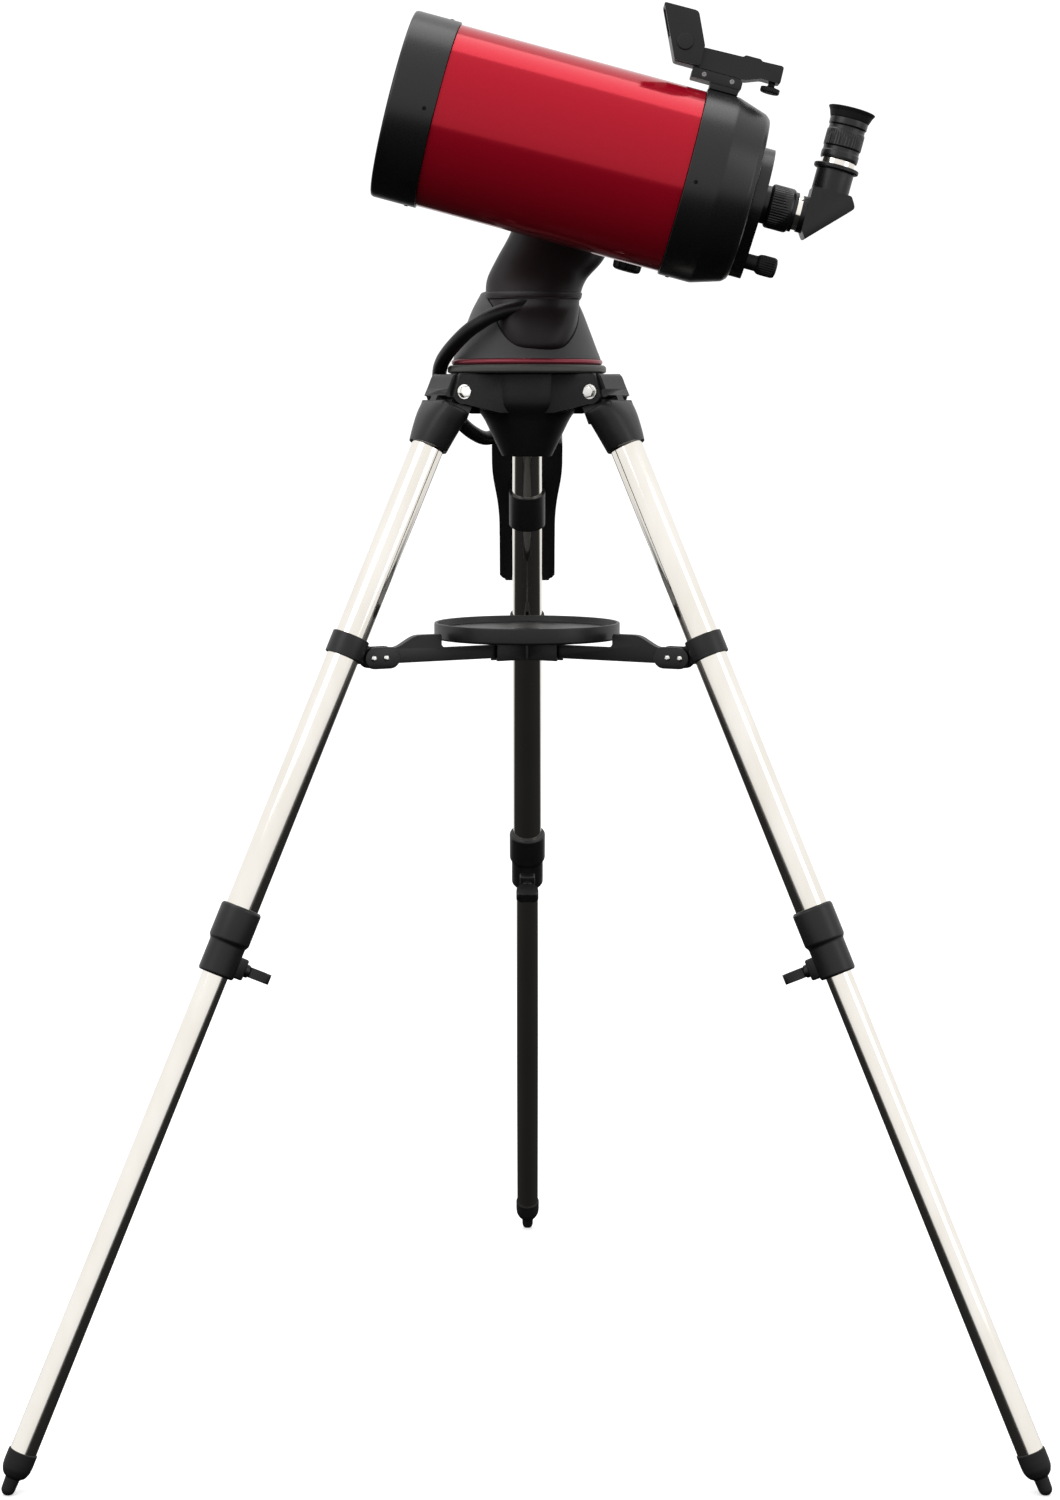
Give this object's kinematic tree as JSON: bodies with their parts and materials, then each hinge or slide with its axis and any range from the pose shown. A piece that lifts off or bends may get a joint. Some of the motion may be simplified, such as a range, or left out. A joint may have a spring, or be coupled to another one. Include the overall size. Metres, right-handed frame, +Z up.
{
  "type": "computerised alt-azimuth telescope on a tripod",
  "caption": "Short closed-tube reflector telescope on a one-armed motorised mount, with a star diagonal, red-dot finder and hand controller, on a folding tripod with an accessory tray.",
  "frame": {"origin": "On the floor, in the middle of the footprint of the three feet.", "axes": "+Z up; +X to the eyepiece end of the tube; the tube hangs on the -Y side of the arm and one leg points along +Y."},
  "size_m": [0.9828, 0.8558, 1.3755],
  "materials": {
    "black_metal": "satin black paint over cast metal",
    "red_tube": "glossy metallic red paint",
    "red_trim": "satin red metallic ring",
    "grey_plastic": "fine-grained dark grey moulding",
    "arm_plastic": "fine-grained near-black moulding with a warm tint",
    "black_plastic": "moulded black plastic with a slight sheen",
    "polished_steel": "polished stainless steel tube",
    "black_rubber": "moulded black rubber",
    "coated_glass": "clear plate with an anti-reflection coating",
    "mirror_coat": "aluminised front surface",
    "white_nylon": "natural moulded nylon",
    "circuit_board": "green solder mask"
  },
  "bodies": {
    "tripod": {"tripod_head": "black_metal", "azimuth_base_plate": "grey_plastic", "controller_cable": "black_rubber"},
    "mount_bolt": {"mount_bolt": "black_plastic"},
    "azimuth": {"base_shell": "grey_plastic", "trim_ring": "red_trim", "azimuth_turntable": "grey_plastic", "azimuth_motor": "black_metal", "arm_inner_cover": "arm_plastic", "arm_outer_cover": "arm_plastic", "altitude_motor": "black_metal", "control_board": "circuit_board"},
    "azimuth_pinion": {"azimuth_pinion": "white_nylon"},
    "altitude_pinion": {"altitude_pinion": "white_nylon"},
    "saddle": {"altitude_saddle": "black_metal"},
    "clamp_knob": {"clamp_knob": "black_plastic"},
    "tube": {"dovetail_bar": "black_metal", "front_cell": "black_metal", "main_tube": "red_tube", "rear_cell": "black_metal", "corrector_plate": "coated_glass", "secondary_holder": "black_plastic", "visual_back": "black_metal", "finder_base": "black_plastic", "finder_body": "black_plastic", "finder_lens": "coated_glass"},
    "finder_knob": {"finder_knob": "black_plastic"},
    "focus_knob": {"focus_knob": "black_rubber"},
    "primary_mirror": {"primary_mirror": "mirror_coat"},
    "diagonal": {"star_diagonal": "black_plastic"},
    "eyepiece": {"eyepiece": "black_metal"},
    "leg_rear": {"leg_bracket_rear": "black_plastic", "upper_tube_rear": "polished_steel", "clamp_collar_rear": "black_plastic", "spreader_band_rear": "black_plastic", "handset_holder": "black_plastic"},
    "lower_leg_rear": {"lower_tube_rear": "polished_steel", "foot_rear": "black_rubber"},
    "leg_knob_rear": {"leg_knob_rear": "black_plastic"},
    "spreader_arm_rear": {"spreader_arm_rear": "black_plastic"},
    "leg_left": {"leg_bracket_left": "black_plastic", "upper_tube_left": "polished_steel", "clamp_collar_left": "black_plastic", "spreader_band_left": "black_plastic"},
    "lower_leg_left": {"lower_tube_left": "polished_steel", "foot_left": "black_rubber"},
    "leg_knob_left": {"leg_knob_left": "black_plastic"},
    "spreader_arm_left": {"spreader_arm_left": "black_plastic"},
    "leg_right": {"leg_bracket_right": "black_plastic", "upper_tube_right": "polished_steel", "clamp_collar_right": "black_plastic", "spreader_band_right": "black_plastic"},
    "lower_leg_right": {"lower_tube_right": "polished_steel", "foot_right": "black_rubber"},
    "leg_knob_right": {"leg_knob_right": "black_plastic"},
    "spreader_arm_right": {"spreader_arm_right": "black_plastic"},
    "spreader_hub": {"spreader_hub": "black_plastic"},
    "tray": {"accessory_tray": "black_plastic"},
    "handset": {"handset": "black_plastic", "keypad": "black_rubber"}
  },
  "joints": [
    {"name": "azimuth_turn", "type": "hinge", "parent": "tripod", "child": "azimuth", "pos_m": [0, -0.1386, 1.054], "axis": [0, 0, 1], "range_deg": [-180, 180], "deforming": ["controller_cable"]},
    {"name": "altitude_tilt", "type": "hinge", "parent": "azimuth", "child": "saddle", "pos_m": [0.044, -0.3036, 1.2416], "axis": [0, 1, 0], "range_deg": [-25, 75]},
    {"name": "azimuth_pinion_spin", "type": "hinge", "parent": "azimuth", "child": "azimuth_pinion", "pos_m": [0, -0.1023, 1.055], "axis": [0, 0, 1], "range_deg": [-540, 540]},
    {"name": "altitude_pinion_spin", "type": "hinge", "parent": "azimuth", "child": "altitude_pinion", "pos_m": [0.044, -0.1496, 1.2053], "axis": [0, 1, 0], "range_deg": [-225, 75]},
    {"name": "clamp_knob_turn", "type": "hinge", "parent": "saddle", "child": "clamp_knob", "pos_m": [0.09925, -0.2006, 1.15446], "axis": [0.2571, 0, 0.9664], "continuous": true},
    {"name": "tube_slide", "type": "slide", "parent": "saddle", "child": "tube", "axis": [0.9664, 0, -0.2571], "range_m": [-0.04, 0.02]},
    {"name": "finder_knob_turn", "type": "hinge", "parent": "tube", "child": "finder_knob", "pos_m": [0.22337, -0.3036, 1.29735], "axis": [0.2571, 0, 0.9664], "range_deg": [-130, 130]},
    {"name": "focus_turn", "type": "hinge", "parent": "tube", "child": "focus_knob", "pos_m": [0.22146, -0.3036, 1.1385], "axis": [0.9664, 0, -0.2571], "range_deg": [-1800, 1800]},
    {"name": "mirror_slide", "type": "slide", "parent": "tube", "child": "primary_mirror", "axis": [0.9664, 0, -0.2571], "range_m": [-0.004, 0.004]},
    {"name": "diagonal_turn", "type": "hinge", "parent": "tube", "child": "diagonal", "pos_m": [0.24501, -0.3036, 1.18812], "axis": [0.9664, 0, -0.2571], "continuous": true},
    {"name": "eyepiece_slide", "type": "slide", "parent": "diagonal", "child": "eyepiece", "axis": [0.2571, 0, 0.9664], "range_m": [0, 0.03]},
    {"name": "mount_bolt_turn", "type": "hinge", "parent": "tripod", "child": "mount_bolt", "pos_m": [0, -0.1386, 0.995], "axis": [0, 0, 1], "continuous": true},
    {"name": "leg_fold_rear", "type": "hinge", "parent": "tripod", "child": "leg_rear", "pos_m": [0, -0.0516, 1.02406], "axis": [-1, 0, 0], "range_deg": [0, 12]},
    {"name": "leg_length_rear", "type": "slide", "parent": "leg_rear", "child": "lower_leg_rear", "axis": [0, -0.421, 0.907], "range_m": [0, 0.4]},
    {"name": "leg_knob_turn_rear", "type": "hinge", "parent": "leg_rear", "child": "leg_knob_rear", "pos_m": [0, 0.17171, 0.47174], "axis": [0, 0.907, 0.421], "continuous": true},
    {"name": "spreader_fold_rear", "type": "hinge", "parent": "leg_rear", "child": "spreader_arm_rear", "pos_m": [0, 0.03575, 0.76749], "axis": [-1, 0, 0], "range_deg": [0, 36]},
    {"name": "leg_fold_left", "type": "hinge", "parent": "tripod", "child": "leg_left", "pos_m": [-0.07534, -0.1821, 1.02406], "axis": [0.5, -0.866, 0], "range_deg": [0, 12]},
    {"name": "leg_length_left", "type": "slide", "parent": "leg_left", "child": "lower_leg_left", "axis": [0.3646, 0.2105, 0.907], "range_m": [0, 0.4]},
    {"name": "leg_knob_turn_left", "type": "hinge", "parent": "leg_left", "child": "leg_knob_left", "pos_m": [-0.26873, -0.29375, 0.47174], "axis": [-0.7855, -0.4535, 0.421], "continuous": true},
    {"name": "spreader_fold_left", "type": "hinge", "parent": "leg_left", "child": "spreader_arm_left", "pos_m": [-0.15099, -0.22577, 0.76749], "axis": [0.5, -0.866, 0], "range_deg": [0, 36]},
    {"name": "leg_fold_right", "type": "hinge", "parent": "tripod", "child": "leg_right", "pos_m": [0.07534, -0.1821, 1.02406], "axis": [0.5, 0.866, 0], "range_deg": [0, 12]},
    {"name": "leg_length_right", "type": "slide", "parent": "leg_right", "child": "lower_leg_right", "axis": [-0.3646, 0.2105, 0.907], "range_m": [0, 0.4]},
    {"name": "leg_knob_turn_right", "type": "hinge", "parent": "leg_right", "child": "leg_knob_right", "pos_m": [0.26873, -0.29375, 0.47174], "axis": [0.7855, -0.4535, 0.421], "continuous": true},
    {"name": "spreader_fold_right", "type": "hinge", "parent": "leg_right", "child": "spreader_arm_right", "pos_m": [0.15099, -0.22577, 0.76749], "axis": [0.5, 0.866, 0], "range_deg": [0, 36]},
    {"name": "spreader_hub_lift", "type": "slide", "parent": "tripod", "child": "spreader_hub", "axis": [0, 0, 1], "range_m": [0, 0.0944]},
    {"name": "tray_turn", "type": "hinge", "parent": "spreader_hub", "child": "tray", "pos_m": [0, -0.1386, 0.78149], "axis": [0, 0, 1], "continuous": true},
    {"name": "handset_lift_off", "type": "slide", "parent": "leg_rear", "child": "handset", "axis": [0, 0.907, 0.421], "range_m": [0, 0.07]}
  ],
  "couplings": [
    {"joint": "azimuth_pinion_spin", "follows": "azimuth_turn", "ratio": 3},
    {"joint": "altitude_pinion_spin", "follows": "altitude_tilt", "ratio": -3},
    {"joint": "focus_turn", "follows": "mirror_slide", "rad_per_m": 7853.9},
    {"joint": "spreader_fold_rear", "follows": "leg_fold_rear", "ratio": 3},
    {"joint": "leg_fold_left", "follows": "leg_fold_rear", "ratio": 1},
    {"joint": "spreader_fold_left", "follows": "leg_fold_rear", "ratio": 3},
    {"joint": "leg_fold_right", "follows": "leg_fold_rear", "ratio": 1},
    {"joint": "spreader_fold_right", "follows": "leg_fold_rear", "ratio": 3},
    {"joint": "spreader_hub_lift", "follows": "leg_fold_rear", "m_per_rad": 0.45072}
  ]
}
